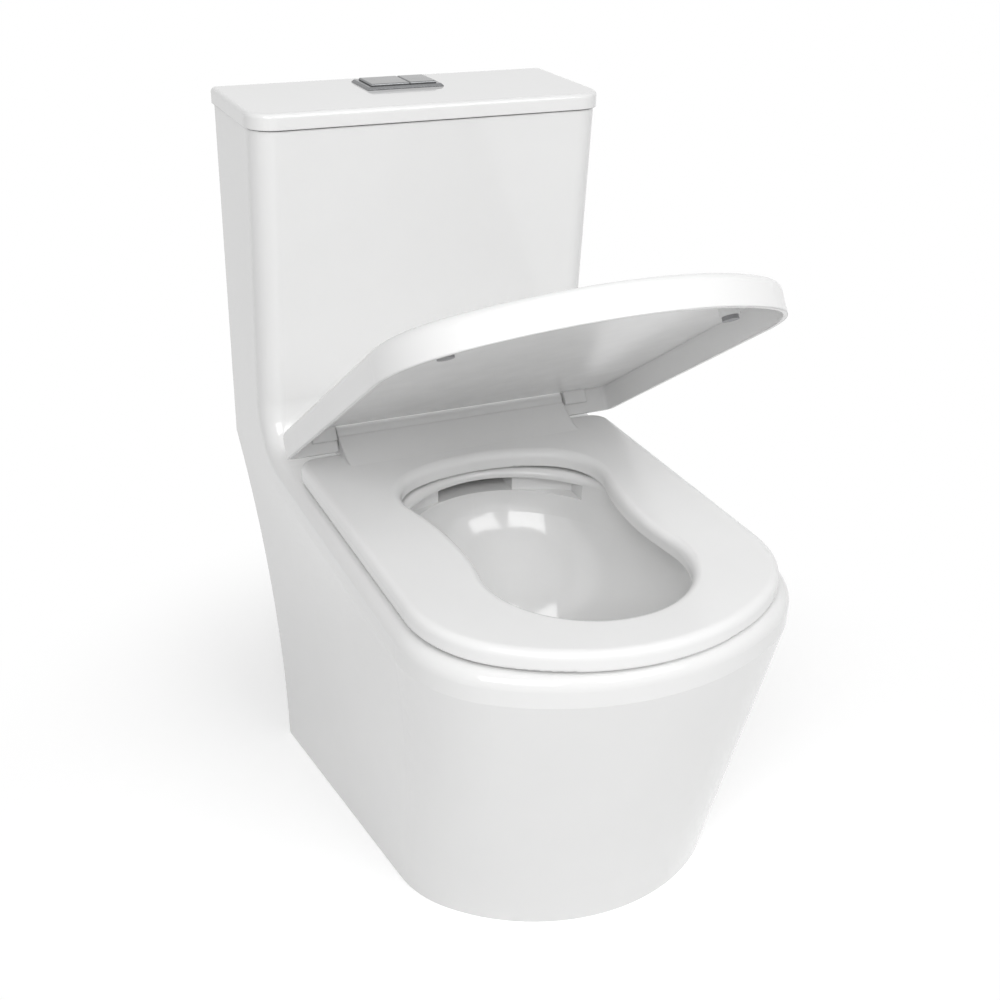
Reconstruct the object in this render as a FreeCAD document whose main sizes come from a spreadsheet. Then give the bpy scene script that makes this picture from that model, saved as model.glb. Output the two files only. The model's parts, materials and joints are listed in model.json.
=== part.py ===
import FreeCAD, Part
import math
import os
import re
import Sketcher

# One-piece toilet. Millimetres, +Z up, the front faces -Y, and the origin is on the floor under the middle of
# the overall length. Lengths called reach, setback or depth run forward from the flat back of the cistern.
SIZES = {
    # pan: plan of the rim
    "overall_length": 722, "body_width": 400, "rim_height": 337, "rim_band": 30, "rim_bulge": 60,
    "rim_corner": 120, "rim_round": 14,
    # pan: plan of the skirt half-way down and at the floor
    "waist_height": 160, "waist_setback": 146, "waist_flare": 8, "waist_inset": 38, "waist_taper": 34,
    "waist_bulge": 53, "waist_corner": 110,
    "foot_setback": 217, "foot_flare": 20, "foot_inset": 75, "foot_taper": 46, "foot_bulge": 21,
    "foot_corner": 114, "skirt_wall": 13, "deck_depth": 52, "skirt_hollow_round": 6,
    # cistern
    "cistern_height": 364.5, "cistern_depth": 172, "cistern_foot_depth": 142, "cistern_sweep": 52,
    "cistern_round": 27, "cistern_back_round": 8, "cistern_wall": 11, "tank_rise": 8, "tank_round": 12,
    # bowl: five ovals from the rim to the bottom of the sump
    "bowl_rear": 297, "bowl_front": 45, "bowl_side": 50, "bowl_round": 7, "bowl_wall": 11,
    "shoulder_drop": 75, "shoulder_rear": 308, "shoulder_front": 74, "shoulder_side": 70,
    "throat_height": 185, "throat_rear": 385, "throat_front": 117, "throat_width": 180,
    "sump_height": 120, "sump_centre": 470, "sump_half_width": 50, "sump_half_length": 60,
    "well_height": 66, "well_centre": 466, "well_half_width": 34, "well_half_length": 44,
    # trap
    "trap_radius": 24, "trap_wall": 9, "trap_setback": 282, "trap_bend": 44, "trap_height": 134,
    "trap_turn": 36, "trap_mouth_height": 92,
    # flush duct and the wide niche that it feeds at the back of the bowl
    "duct_width": 90, "duct_wall": 12, "niche_drop": 28, "niche_height": 18, "niche_depth": 11,
    "niche_radius": 182, "niche_width": 212,
    # cistern lid
    "lid_gap": 1.5, "lid_thickness": 17, "lid_overhang": 3, "lid_round": 5, "lid_lip_height": 9,
    "lid_lip_wall": 6, "lid_lip_clearance": 3, "pad_radius": 4,
    # flush plate
    "plate_setback": 54, "plate_width": 90, "plate_depth": 57, "plate_height": 3.2, "plate_bevel": 2.2,
    "plate_frame": 6, "tray_wall": 2, "tray_clearance": 0.5, "tray_drop": 24, "tray_flange": 1.8,
    "flange_height": 1.2, "flange_clearance": 0.2, "button_gap": 1, "button_split": 7,
    "button_clearance": 0.5, "button_proud": 2.4, "button_skirt": 9, "button_wall": 2, "button_round": 1.6,
    "neck_radius": 20, "neck_wall": 3, "neck_height": 16, "bridge_width": 56, "bridge_length": 104,
    "bridge_plate": 3, "bridge_leg": 4,
    "nut_radius": 30, "nut_height": 8, "thread_clearance": 0.3,
    "rod_radius": 3, "rod_offset": 10, "rod_forward": -3.5, "rod_boss": 5, "rod_entry": 14,
    "rod_clearance": 0.5,
    "spring_wire": 0.45, "spring_gap": 0.6, "spring_pitch": 4.3, "spring_seat": 0.05,
    # flush valve
    "valve_setback": 71, "valve_hole": 32, "valve_clearance": 1, "valve_bore": 26, "valve_flange": 45,
    "valve_flange_height": 5, "valve_spigot": 14, "valve_seat_height": 4, "gasket_height": 3,
    "leg_length": 42, "leg_width": 9, "leg_thickness": 5,
    "tower_radius": 42, "tower_wall": 3, "tower_length": 125, "tower_cap": 4,
    "sleeve_wall": 2, "sleeve_height": 40, "sleeve_clearance": 0.6,
    "overflow_radius": 14, "overflow_wall": 2, "overflow_length": 255,
    "disc_radius": 30, "disc_height": 4, "seal_height": 3, "seal_clearance": 0.2,
    # fill valve
    "fill_side": 60, "fill_setback": 66, "shank_radius": 10.5, "shank_length": 58, "shank_bore": 4.5,
    "shank_flange": 18, "shank_flange_height": 4, "shank_clearance": 1,
    "riser_radius": 12, "riser_length": 190,
    "washer_height": 3, "inlet_nut_size": 32, "inlet_nut_height": 9, "recess_drop": 20, "recess_height": 61,
    "recess_width": 78, "recess_depth": 100, "recess_wall": 12, "float_radius": 29, "float_length": 70,
    "float_wall": 2.5, "float_clearance": 0.6, "float_gap": 0.3, "head_radius": 23, "head_height": 44,
    "spout_radius": 5, "spout_reach": 34, "spout_drop": 14,
    # seat hinge
    "hinge_setback": 212, "hinge_height": 35, "bar_radius": 15, "bar_inset": 62, "pin_radius": 4,
    "pin_clearance": 0.05, "pin_inset": 46, "post_offset": 78, "post_width": 28, "post_radius": 10,
    "post_stem": 18, "post_forward": 4, "post_base": 14, "post_base_height": 2.5, "post_gap": 1,
    "bolt_radius": 4, "bolt_length": 46, "bolt_entry": 6,
    "plug_radius": 8, "plug_length": 34, "plug_clearance": 0.2,
    # seat ring
    "seat_gap": 3, "seat_thickness": 19.5, "seat_side": 12, "seat_setback": 230.2, "seat_inset": 3,
    "seat_bulge": 34, "seat_corner": 126, "seat_round": 8, "seat_under_round": 2.5, "seat_back_round": 22,
    "ramp_reach": 280, "ramp_rise": 17, "ramp_dip": 0.5,
    "opening_rear": 295, "opening_nose": 190, "opening_corner": 66, "opening_width": 226,
    "opening_waist": 350, "opening_front_radius": 102, "opening_front": 57, "opening_round": 9,
    "bumper_radius": 9, "bumper_inset": 20, "bumper_side_reach": 400, "bumper_front": 100,
    "bumper_front_inset": 57,
    # cover
    "cover_open_angle": 33.3, "cover_side": 12, "cover_setback": 221, "cover_lift": 14.5,
    "cover_overhang": 10, "cover_bulge": 62, "cover_corner": 116, "cover_height": 32.5, "cover_wall": 4.5,
    "cover_round": 11, "cover_gap": 1.5, "ear_radius": 12, "ear_inset": 2, "ear_width": 28, "ear_web": 8,
    "stop_side": 142, "stop_inset": 103, "stop_radius": 8, "stop_height": 4,
    "boss_radius": 9.5, "stop_gap": 0.3,
    # outlet seal
    "seal_outer": 49, "outlet_seal_height": 20, "outlet_seal_clearance": 0.3,
}
# Sizes that follow from the ones above. A bulge is how far a nose's radius exceeds half the width there.
DERIVED = {
    "rim_nose": "body_width / 2 + rim_bulge",
    "waist_width": "body_width + waist_flare", "waist_front_width": "body_width - waist_taper",
    "waist_reach": "overall_length - waist_inset", "waist_nose": "waist_front_width / 2 + waist_bulge",
    "foot_width": "body_width + foot_flare", "foot_front_width": "body_width - foot_taper",
    "foot_reach": "overall_length - foot_inset", "foot_nose": "foot_front_width / 2 + foot_bulge",
    "skirt_hollow_height": "rim_height - deck_depth", "cistern_top": "rim_height + cistern_height",
    "tank_floor": "rim_height + tank_rise", "recess_roof": "tank_floor - recess_drop",
    "recess_floor": "recess_roof - recess_height", "niche_floor": "rim_height - niche_drop",
    "bowl_half_length": "(overall_length - bowl_front - bowl_rear) / 2",
    "bowl_half_width": "min(body_width / 2 - bowl_side; bowl_half_length)",
    "bowl_centre": "bowl_rear + bowl_half_length",
    "shoulder_height": "rim_height - shoulder_drop",
    "shoulder_half_length": "(overall_length - shoulder_front - shoulder_rear) / 2",
    "shoulder_half_width": "min(body_width / 2 - shoulder_side; shoulder_half_length)",
    "shoulder_centre": "shoulder_rear + shoulder_half_length",
    "throat_half_length": "(overall_length - throat_front - throat_rear) / 2",
    "throat_half_width": "min(throat_width / 2; throat_half_length)",
    "throat_centre": "throat_rear + throat_half_length",
    "niche_centre": "bowl_rear - niche_depth + niche_radius",
    "fill_offset": "body_width / 2 - fill_side",
    "seat_width": "body_width - 2 * seat_side", "seat_reach": "overall_length - seat_inset",
    "seat_nose": "seat_width / 2 + seat_bulge",
    "opening_front_centre": "seat_reach - opening_front - opening_front_radius",
    "bumper_side": "seat_width / 2 - bumper_inset", "bumper_front_reach": "seat_reach - bumper_front_inset",
    "cover_width": "seat_width + 2 * cover_side", "cover_reach": "seat_reach + cover_overhang",
    "cover_nose": "cover_width / 2 + cover_bulge", "stop_reach": "seat_reach - stop_inset",
    "bar_length": "cover_width - 2 * bar_inset",
}
REAR = "overall_length / 2"
LID_BASE = "cistern_top + lid_gap"
LID_TOP = "cistern_top + lid_gap + lid_thickness"
PLATE_TOP = LID_TOP + " + plate_height"
TRAY_FLOOR = f"{LID_TOP} - tray_drop"
HOLE_WIDTH = "plate_width - 2 * plate_frame + 2 * tray_wall + 2 * tray_clearance"
HOLE_DEPTH = "plate_depth - 2 * plate_frame + 2 * tray_wall + 2 * tray_clearance"
HINGE_Z = "rim_height + hinge_height"
WIDE = "2 * body_width"
SIDES = (("left", "-"), ("right", ""))

doc = FreeCAD.newDocument("toilet")
sheet = doc.addObject("Spreadsheet::Sheet", "Sizes")
cells = {**{alias: str(default) for alias, default in SIZES.items()},
         **{alias: "=" + text for alias, text in DERIVED.items()}}
for row, (alias, content) in enumerate(cells.items(), start=1):
    sheet.set(f"A{row}", alias)
    sheet.set(f"B{row}", content)
    sheet.setAlias(f"B{row}", alias)
doc.recompute()
parts = []


def formula(text):
    return re.sub(r"[a-z]+(?:_[a-z]+)*", lambda m: "Sizes." + m[0] if m[0] in cells else m[0], str(text))


def number(text):
    result = sheet.evalExpression(formula(text))
    return float(getattr(result, "Value", result))


def fwd(text):
    return f"({REAR} - ({text}))"


def bind(item, expressions):
    for prop, text in expressions.items():
        item.setExpression(prop, formula(text))
    return item


def place(item, x="0", y="0", z="0"):
    return bind(item, {"Placement.Base.x": x, "Placement.Base.y": y, "Placement.Base.z": z})


def keep(item, label):
    item.Label = label
    parts.append(item)
    return item


# Solids and how they are joined

def box(name, x, y, z):
    """x, y and z are (low, high) pairs."""
    item = doc.addObject("Part::Box", name)
    spans = {side: f"{high} - ({low})" for side, (low, high) in zip(("Length", "Width", "Height"), (x, y, z))}
    bind(item, spans)
    return place(item, x[0], y[0], z[0])


def rod(name, radius, length, x, y, z, axis="Z"):
    item = doc.addObject("Part::Cylinder", name)
    turn = FreeCAD.Rotation(FreeCAD.Vector(0, 1, 0), 90) if axis == "X" else FreeCAD.Rotation()
    item.Placement = FreeCAD.Placement(FreeCAD.Vector(), turn)
    bind(item, {"Radius": radius, "Height": length})
    return place(item, x, y, z)


def fuse(name, *shapes):
    item = doc.addObject("Part::MultiFuse", name)
    item.Shapes = list(shapes)
    return item


def cut(name, base, *tools):
    item = doc.addObject("Part::Cut", name)
    item.Base = base
    item.Tool = tools[0] if len(tools) == 1 else fuse(name + "_tools", *tools)
    return item


def common(name, base, tool):
    item = doc.addObject("Part::Common", name)
    item.Base = base
    item.Tool = tool
    return item


def oval_loft(name, sections, wall="0"):
    """A smooth solid through ovals given as (height, centre reach, half width, half length)."""
    ovals = []
    for index, (height, centre, half_width, half_length) in enumerate(sections):
        oval = doc.addObject("Part::Ellipse", f"{name}_{index}")
        oval.Placement = FreeCAD.Placement(FreeCAD.Vector(), FreeCAD.Rotation(FreeCAD.Vector(0, 0, 1), 90))
        bind(oval, {"MajorRadius": f"{half_length} + {wall}", "MinorRadius": f"{half_width} + {wall}"})
        ovals.append(place(oval, "0", fwd(centre), height))
    loft = doc.addObject("Part::Loft", name)
    loft.Sections = ovals
    loft.Solid = True
    return loft


def round_edges(name, base, choose):
    """A fillet on the edges of base for which choose(edge) gives (first radius, last radius)."""
    doc.recompute()
    item = doc.addObject("Part::Fillet", name)
    item.Base = base
    picked = [(index, choose(edge)) for index, edge in enumerate(base.Shape.Edges, start=1)]
    item.Edges = [(index, *radii) for index, radii in picked if radii]
    doc.recompute()
    return item


# Bodies, sketches and features

def new_body(name):
    return doc.addObject("PartDesign::Body", name)


def new_sketch(body, name, role, offset="0"):
    sketch = body.newObject("Sketcher::SketchObject", name)
    origin = next(f for f in body.Origin.OriginFeatures if f.Role == role)
    sketch.AttachmentSupport = (origin, [""])
    sketch.MapMode = "FlatFace"
    return bind(sketch, {"AttachmentOffset.Base.z": offset})


def limit(sketch, kind, *refs, text):
    index = sketch.addConstraint(Sketcher.Constraint(kind, *refs, number(text)))
    sketch.setExpression(f"Constraints[{index}]", formula(text))


def pin_point(sketch, geo, pos, x=None, y=None):
    for kind, axis, text in (("DistanceX", -2, x), ("DistanceY", -1, y)):
        if text is None:
            continue
        at = number(text)
        if abs(at) < 1e-7:
            sketch.addConstraint(Sketcher.Constraint("PointOnObject", geo, pos, axis))
        elif at > 0:
            limit(sketch, kind, -1, 1, geo, pos, text=text)
        else:
            limit(sketch, kind, geo, pos, -1, 1, text=f"-({text})")


def polygon(sketch, corners, bends=None):
    """A side numbered in bends is an arc, counter-clockwise about a centre with that x."""
    points = [FreeCAD.Vector(number(x), number(y), 0) for x, y in corners]
    first, count = sketch.GeometryCount, len(corners)
    for index, start in enumerate(points):
        end = points[(index + 1) % count]
        if bends and index in bends:
            x = number(bends[index])
            y = ((end.x - x) ** 2 + end.y ** 2 - (start.x - x) ** 2 - start.y ** 2) / (2 * (end.y - start.y))
            centre = FreeCAD.Vector(x, y, 0)
            sketch.addGeometry(arc(centre, (start - centre).Length, start, end))
            pin_point(sketch, first + index, 3, bends[index])
        else:
            sketch.addGeometry(Part.LineSegment(start, end))
    for index in range(count):
        following = first + (index + 1) % count
        sketch.addConstraint(Sketcher.Constraint("Coincident", first + index, 2, following, 1))
        pin_point(sketch, first + index, 1, *corners[index])
    return sketch


def circle(sketch, radius, x="0", y="0"):
    centre = FreeCAD.Vector(number(x), number(y), 0)
    geo = sketch.addGeometry(Part.Circle(centre, FreeCAD.Vector(0, 0, 1), number(radius)))
    pin_point(sketch, geo, 3, x, y)
    limit(sketch, "Radius", geo, text=radius)
    return sketch


def arc(centre, radius, start, end):
    """Counter-clockwise from the direction of start to the direction of end."""
    low, high = (math.atan2(p.y - centre.y, p.x - centre.x) for p in (start, end))
    ring = Part.Circle(centre, FreeCAD.Vector(0, 0, 1), radius)
    return Part.ArcOfCircle(ring, low, high if high > low else high + 2 * math.pi)


def flip(point):
    return FreeCAD.Vector(-point.x, point.y, 0)


def dee(sketch, back, back_width, reach, width, nose, corner, turn, wall="0"):
    """A D in plan: a flat back with rounded ends, sides, two corner arcs and a nose arc, all tangent.
    wall insets it, and turn is the radius of the back's ends as drawn."""
    rear_y, front_y = fwd(f"{back} + {wall}"), fwd(f"{reach} - {wall}")
    back_x, corner_x = f"({back_width}) / 2 - {wall} - ({turn})", f"({width}) / 2 - ({corner})"
    nose_r, corner_r = f"{nose} - {wall}", f"{corner} - {wall}"
    nose_y = f"{front_y} + {nose_r}"
    big, small, tight = number(nose_r), number(corner_r), number(turn)
    hub = FreeCAD.Vector(0, number(nose_y), 0)
    across = number(corner_x)
    centre = FreeCAD.Vector(across, hub.y - math.sqrt((big - small) ** 2 - across ** 2), 0)
    meet = hub + (centre - hub) * (big / (big - small))
    heel = FreeCAD.Vector(number(back_x), number(rear_y) - tight, 0)
    run = centre - heel
    lean = (tight - small) / run.Length
    along = run / run.Length
    out = FreeCAD.Vector(-along.y, along.x, 0) * math.sqrt(1 - lean ** 2) + along * lean
    top, low, end = heel + out * tight, centre + out * small, heel + FreeCAD.Vector(0, tight, 0)
    geometry = [Part.LineSegment(flip(end), end), arc(heel, tight, top, end), Part.LineSegment(top, low),
                arc(centre, small, meet, low), arc(hub, big, flip(meet), meet),
                arc(flip(centre), small, flip(low), flip(meet)), Part.LineSegment(flip(top), flip(low)),
                arc(flip(heel), tight, flip(end), flip(top))]
    lines = map(sketch.addGeometry, geometry)
    rear, right_heel, right, right_arc, nose_arc, left_arc, left, left_heel = lines
    for refs in ((rear, 2, right_heel, 2), (right_heel, 1, right, 1), (right, 2, right_arc, 2),
                 (right_arc, 1, nose_arc, 2), (nose_arc, 1, left_arc, 2), (left_arc, 1, left, 2),
                 (left, 1, left_heel, 2), (left_heel, 1, rear, 1)):
        sketch.addConstraint(Sketcher.Constraint("Tangent", *refs))
    pin_point(sketch, rear, 1, None, rear_y)
    pin_point(sketch, rear, 2, None, rear_y)
    pin_point(sketch, nose_arc, 3, "0", nose_y)
    limit(sketch, "Radius", nose_arc, text=nose_r)
    for geo, radius, x in ((right_heel, turn, back_x), (left_heel, turn, f"-({back_x})"),
                           (right_arc, corner_r, corner_x), (left_arc, corner_r, f"-({corner_x})")):
        limit(sketch, "Radius", geo, text=radius)
        pin_point(sketch, geo, 3, x)
    return sketch


def pear(sketch):
    """The seat's opening: a flat rear arc, two rear corners, two waist arcs and a front lobe, all tangent."""
    nose_y, front_y = fwd("opening_rear + opening_nose"), fwd("opening_front_centre")
    corner_x = "opening_width / 2 - opening_corner"
    hub, front = (FreeCAD.Vector(0, number(y), 0) for y in (nose_y, front_y))
    radii = ("opening_nose", "opening_corner", "opening_waist", "opening_front_radius")
    big, small, neck, near = map(number, radii)
    across = number(corner_x)
    corner = FreeCAD.Vector(across, hub.y + math.sqrt((big - small) ** 2 - across ** 2), 0)
    meet = hub + (corner - hub) * (big / (big - small))
    line = front - corner
    span = line.Length
    along = ((small + neck) ** 2 - (near + neck) ** 2 + span ** 2) / (2 * span)
    away = math.sqrt((small + neck) ** 2 - along ** 2)
    side = corner + line * (along / span) + FreeCAD.Vector(-line.y, line.x, 0) * (away / span)
    top = corner + (side - corner) * (small / (small + neck))
    low = front + (side - front) * (near / (near + neck))
    geometry = [arc(hub, big, meet, flip(meet)), arc(flip(corner), small, flip(meet), flip(top)),
                arc(flip(side), neck, flip(low), flip(top)), arc(front, near, flip(low), low),
                arc(side, neck, top, low), arc(corner, small, top, meet)]
    rear, left_corner, left_waist, lobe, right_waist, right_corner = map(sketch.addGeometry, geometry)
    for refs in ((rear, 2, left_corner, 1), (left_corner, 2, left_waist, 2), (left_waist, 1, lobe, 1),
                 (lobe, 2, right_waist, 2), (right_waist, 1, right_corner, 1), (right_corner, 2, rear, 1)):
        sketch.addConstraint(Sketcher.Constraint("Tangent", *refs))
    for geo, radius in zip((rear, left_corner, left_waist, lobe, right_waist, right_corner),
                           (*radii, *radii[2:0:-1])):
        limit(sketch, "Radius", geo, text=radius)
    pin_point(sketch, rear, 3, "0", nose_y)
    pin_point(sketch, lobe, 3, "0", front_y)
    pin_point(sketch, right_corner, 3, corner_x)
    pin_point(sketch, left_corner, 3, f"-({corner_x})")
    return sketch


def extrude(body, kind, name, sketch, length, reverse=False):
    item = body.newObject("PartDesign::" + kind, name)
    item.Profile = sketch
    item.Reversed = reverse
    bind(item, {"Length": length})
    before = body.Shape.Volume if kind == "Pocket" else None
    doc.recompute()
    if before is not None and body.Shape.Volume > before - 1:
        raise RuntimeError(f"{name} cuts nothing")
    return item


def blend(body, name, radius, choose):
    """A fillet on the edges of the body's tip that choose picks."""
    names = [f"Edge{i}" for i, edge in enumerate(body.Tip.Shape.Edges, start=1) if choose(edge)]
    item = body.newObject("PartDesign::Fillet", name)
    item.Base = (body.Tip if body.Tip is not item else item.BaseFeature, names)
    bind(item, {"Radius": radius})
    doc.recompute()
    return item


def turned(name, profile, x="0", y="0", z="0"):
    """A body revolved about its own Z axis from (radius, height) corners."""
    body = new_body(name)
    sketch = polygon(new_sketch(body, name + "_profile", "XZ_Plane"), profile)
    spin = body.newObject("PartDesign::Revolution", name + "_turn")
    spin.Profile = sketch
    spin.ReferenceAxis = (sketch, ["V_Axis"])
    spin.Angle = 360
    place(body, x, y, z)
    doc.recompute()
    return body


def coil(name, radius, wire, pitch, x, y, low, high):
    """A round wire wound upwards from low to high, which are the heights of its middle."""
    path = place(doc.addObject("Part::Helix", name + "_path"), x, y, low)
    bind(path, {"Radius": radius, "Pitch": pitch, "Height": f"{high} - ({low})"})
    path.SegmentLength = 0.5
    section = doc.addObject("Part::Circle", name + "_wire")
    section.Placement = FreeCAD.Placement(FreeCAD.Vector(), FreeCAD.Rotation(FreeCAD.Vector(1, 0, 0), 90))
    place(bind(section, {"Radius": wire}), f"{x} + {radius}", y, low)
    item = doc.addObject("Part::Sweep", name)
    item.Sections = [section]
    item.Spine = (path, [])
    item.Solid = True
    item.Frenet = True
    return item


def tube(inner, outer, low, high):
    return [(inner, low), (outer, low), (outer, high), (inner, high)]


def level(edge, z):
    box_ = edge.BoundBox
    return abs(box_.ZMin - z) < 0.01 and abs(box_.ZMax - z) < 0.01


def upright(edge):
    box_ = edge.BoundBox
    return box_.ZLength > 1 and box_.XLength < 0.01 and box_.YLength < 0.01


# Ceramic body: the skirt is a smooth loft through three D plans, and the pan's rim and the cistern rise from
# the top one; the front above the deck is cut away to leave the cistern with its sweep down to the deck.
def skirt(body, turn, wall="0"):
    plans = (("foot", "0", "foot_setback", "foot_width", "foot_reach", "foot_front_width", "foot_nose",
              "foot_corner"),
             ("waist", "waist_height", "waist_setback", "waist_width", "waist_reach", "waist_front_width",
              "waist_nose", "waist_corner"),
             ("band", "rim_height - rim_band", "0", "body_width", "overall_length", "body_width", "rim_nose",
              "rim_corner"))
    rings = [dee(new_sketch(body, f"{body.Name}_{name}", "XY_Plane", height), *plan, turn, wall=wall)
             for name, height, *plan in plans]
    loft = body.newObject("PartDesign::AdditiveLoft", body.Name + "_skirt")
    loft.Profile = rings[0]
    loft.Sections = rings[1:]
    doc.recompute()


shell = new_body("shell")
skirt(shell, "cistern_back_round")
rim_plan = dee(new_sketch(shell, "rim_plan", "XY_Plane", "rim_height - rim_band"), "0", "body_width",
               "overall_length", "body_width", "rim_nose", "rim_corner", "cistern_back_round")
extrude(shell, "Pad", "upper_body", rim_plan, "cistern_top - rim_height + rim_band")
above = "cistern_top + rim_band"
slope = "(cistern_depth - cistern_foot_depth) / (cistern_top - rim_height)"
profile = polygon(new_sketch(shell, "cistern_side", "YZ_Plane", "body_width"), [
    (fwd("cistern_foot_depth"), "rim_height"), (fwd("overall_length + rim_band"), "rim_height"),
    (fwd("overall_length + rim_band"), above), (fwd(f"cistern_depth + rim_band * {slope}"), above)])
extrude(shell, "Pocket", "front_cut", profile, WIDE)
deck, top_z, half_width = number("rim_height"), number("cistern_top"), number("body_width / 2")
foot_y = number(fwd("cistern_foot_depth"))
blend(shell, "sweep", "cistern_sweep",
      lambda e: level(e, deck) and e.BoundBox.YLength < 0.01 and abs(e.BoundBox.YMin - foot_y) < 0.01)


def rim_radii(edge):
    """The cistern's front corners are the widest rounds, and narrow along the sweep to the rim's round."""
    wide, narrow = number("cistern_round"), number("rim_round")
    bounds = edge.BoundBox
    middle = bounds.Center
    on_side = bounds.XLength < 0.01 and abs(abs(middle.x) - half_width) < 0.01
    if level(edge, deck) and bounds.YMin < number(fwd("cistern_foot_depth + cistern_sweep / 2")):
        crosses = bounds.YLength < 0.01
        return None if crosses else (narrow, narrow)
    if on_side and bounds.ZMin > deck + 1 and bounds.YLength > 0.1 and bounds.ZLength > 100:
        return (wide, wide)
    if on_side and abs(bounds.ZMin - deck) < 0.01 and bounds.ZLength > 1:
        return (wide, narrow) if middle.x > 0 else (narrow, wide)
    return None


outer = round_edges("outer", shell, rim_radii)


# Hollows of the ceramic body
def tank_depth(z):
    return f"cistern_foot_depth + ({z} - rim_height) * {slope} - cistern_wall"


tank = new_body("tank")
tank_side = polygon(new_sketch(tank, "tank_side", "YZ_Plane", "cistern_wall - body_width / 2"), [
    (fwd("cistern_wall"), "tank_floor"), (fwd("cistern_wall"), above),
    (fwd(tank_depth(above)), above), (fwd(tank_depth("tank_floor")), "tank_floor")])
extrude(tank, "Pad", "tank_block", tank_side, "body_width - 2 * cistern_wall")
blend(tank, "tank_corners", "tank_round", lambda e: not level(e, number(above)))

OVALS = [("rim_height", "bowl_centre", "bowl_half_width", "bowl_half_length"),
         ("shoulder_height", "shoulder_centre", "shoulder_half_width", "shoulder_half_length"),
         ("throat_height", "throat_centre", "throat_half_width", "throat_half_length"),
         ("sump_height", "sump_centre", "sump_half_width", "sump_half_length"),
         ("well_height", "well_centre", "well_half_width", "well_half_length")]
bowl_space = oval_loft("bowl_space", OVALS)
bowl_shell = oval_loft("bowl_shell", [(f"{z} - bowl_wall", *rest) for z, *rest in OVALS], "bowl_wall")


def trap(name, radius):
    """The S trap: back from the sump, up, over the weir and straight down to the floor."""
    body = new_body(name)
    path = new_sketch(body, name + "_path", "YZ_Plane")
    hub = (fwd("trap_setback + trap_bend"), "trap_height")
    heel = (fwd("trap_setback + 2 * trap_bend + trap_turn"), "trap_mouth_height + trap_turn")
    foot, mouth = (fwd("trap_setback"), "0"), (fwd("well_centre"), "trap_mouth_height")
    top, low, start, end = (FreeCAD.Vector(number(y), number(z), 0) for y, z in (hub, heel, foot, mouth))
    bend, turn = number("trap_bend"), number("trap_turn")
    crest = [top + FreeCAD.Vector(side * bend, 0, 0) for side in (1, -1)]
    dip = [low - FreeCAD.Vector(0, turn, 0), low + FreeCAD.Vector(turn, 0, 0)]
    down, over, up, under, back = map(path.addGeometry, (
        Part.LineSegment(start, crest[0]), arc(top, bend, *crest), Part.LineSegment(crest[1], dip[1]),
        arc(low, turn, *dip), Part.LineSegment(dip[0], end)))
    for refs in ((down, 2, over, 1), (over, 2, up, 1), (up, 2, under, 2), (under, 1, back, 1)):
        path.addConstraint(Sketcher.Constraint("Tangent", *refs))
    path.addConstraint(Sketcher.Constraint("Vertical", down))
    path.addConstraint(Sketcher.Constraint("Horizontal", back))
    pin_point(path, down, 1, *foot)
    pin_point(path, over, 3, *hub)
    pin_point(path, under, 3, *heel)
    pin_point(path, back, 2, *mouth)
    ring = circle(new_sketch(body, name + "_ring", "XY_Plane"), radius, "0", fwd("trap_setback"))
    pipe = body.newObject("PartDesign::AdditivePipe", name + "_pipe")
    pipe.Profile = ring
    pipe.Spine = (path, [f"Edge{i}" for i in range(1, 6)])
    doc.recompute()
    return body


trap_space = trap("trap_space", "trap_radius")
trap_shell = trap("trap_shell", "trap_radius + trap_wall")

duct_end, duct_roof = fwd("niche_centre - niche_radius + duct_wall"), "niche_floor + niche_height"
duct = box("duct", ("-duct_width / 2", "duct_width / 2"), (duct_end, fwd("valve_setback")),
           ("niche_floor", duct_roof))
valve_hole = rod("valve_opening", "valve_hole", "tank_floor - niche_floor + 1", "0", fwd("valve_setback"),
                 "niche_floor")
niche_round = rod("niche_round", "niche_radius", "niche_height", "0", fwd("niche_centre"), "niche_floor")
niche_span = box("niche_span", ("-niche_width / 2", "niche_width / 2"),
                 (fwd("bowl_centre - bowl_half_length / 2"), REAR), ("niche_floor", duct_roof))
niche = common("niche", niche_round, niche_span)
recess = box("recess", ("-fill_offset - recess_width / 2", "-fill_offset + recess_width / 2"),
             (fwd("recess_depth"), fwd("-recess_wall")), ("recess_floor", "recess_roof"))
recess_shell = box("recess_shell", ("-fill_offset - recess_width / 2 - recess_wall",
                                    "-fill_offset + recess_width / 2 + recess_wall"),
                   (fwd("recess_depth + recess_wall"), REAR), ("recess_floor - recess_wall", "rim_height"))
inlet_hole = rod("inlet_hole", "shank_radius + shank_clearance", "tank_floor - recess_roof + 2",
                 "-fill_offset", fwd("fill_setback"), "recess_roof - 1")
post_y = fwd("hinge_setback + post_forward")
plug_holes = [rod(f"plug_hole_{side}", "plug_radius", "bolt_length", f"{sign}post_offset", post_y,
                  "rim_height - bolt_length") for side, sign in SIDES]

ALL_WIDTH = ("-body_width", "body_width")
ALL_LENGTH = (fwd("2 * overall_length"), fwd("-overall_length"))
hollow = new_body("hollow")
skirt(hollow, "skirt_hollow_round", "skirt_wall")
deck_limit = box("deck_limit", ALL_WIDTH, ALL_LENGTH, ("-rim_band", "skirt_hollow_height"))
below_deck = common("below_deck", hollow, deck_limit)
casting = cut("casting", outer, tank, bowl_space, below_deck, duct, niche, valve_hole, recess, inlet_hole,
              *plug_holes)


def bowl_lip(edge):
    bounds = edge.BoundBox
    long = level(edge, deck) and bounds.YLength > number("bowl_half_length")
    inside = long and bounds.YMin > number(fwd("overall_length")) + 2
    lip = inside and bounds.XLength < 2 * number("bowl_half_width + bowl_round")
    return (number("bowl_round"),) * 2 if lip else None


ceramic = round_edges("ceramic", casting, bowl_lip)


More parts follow.
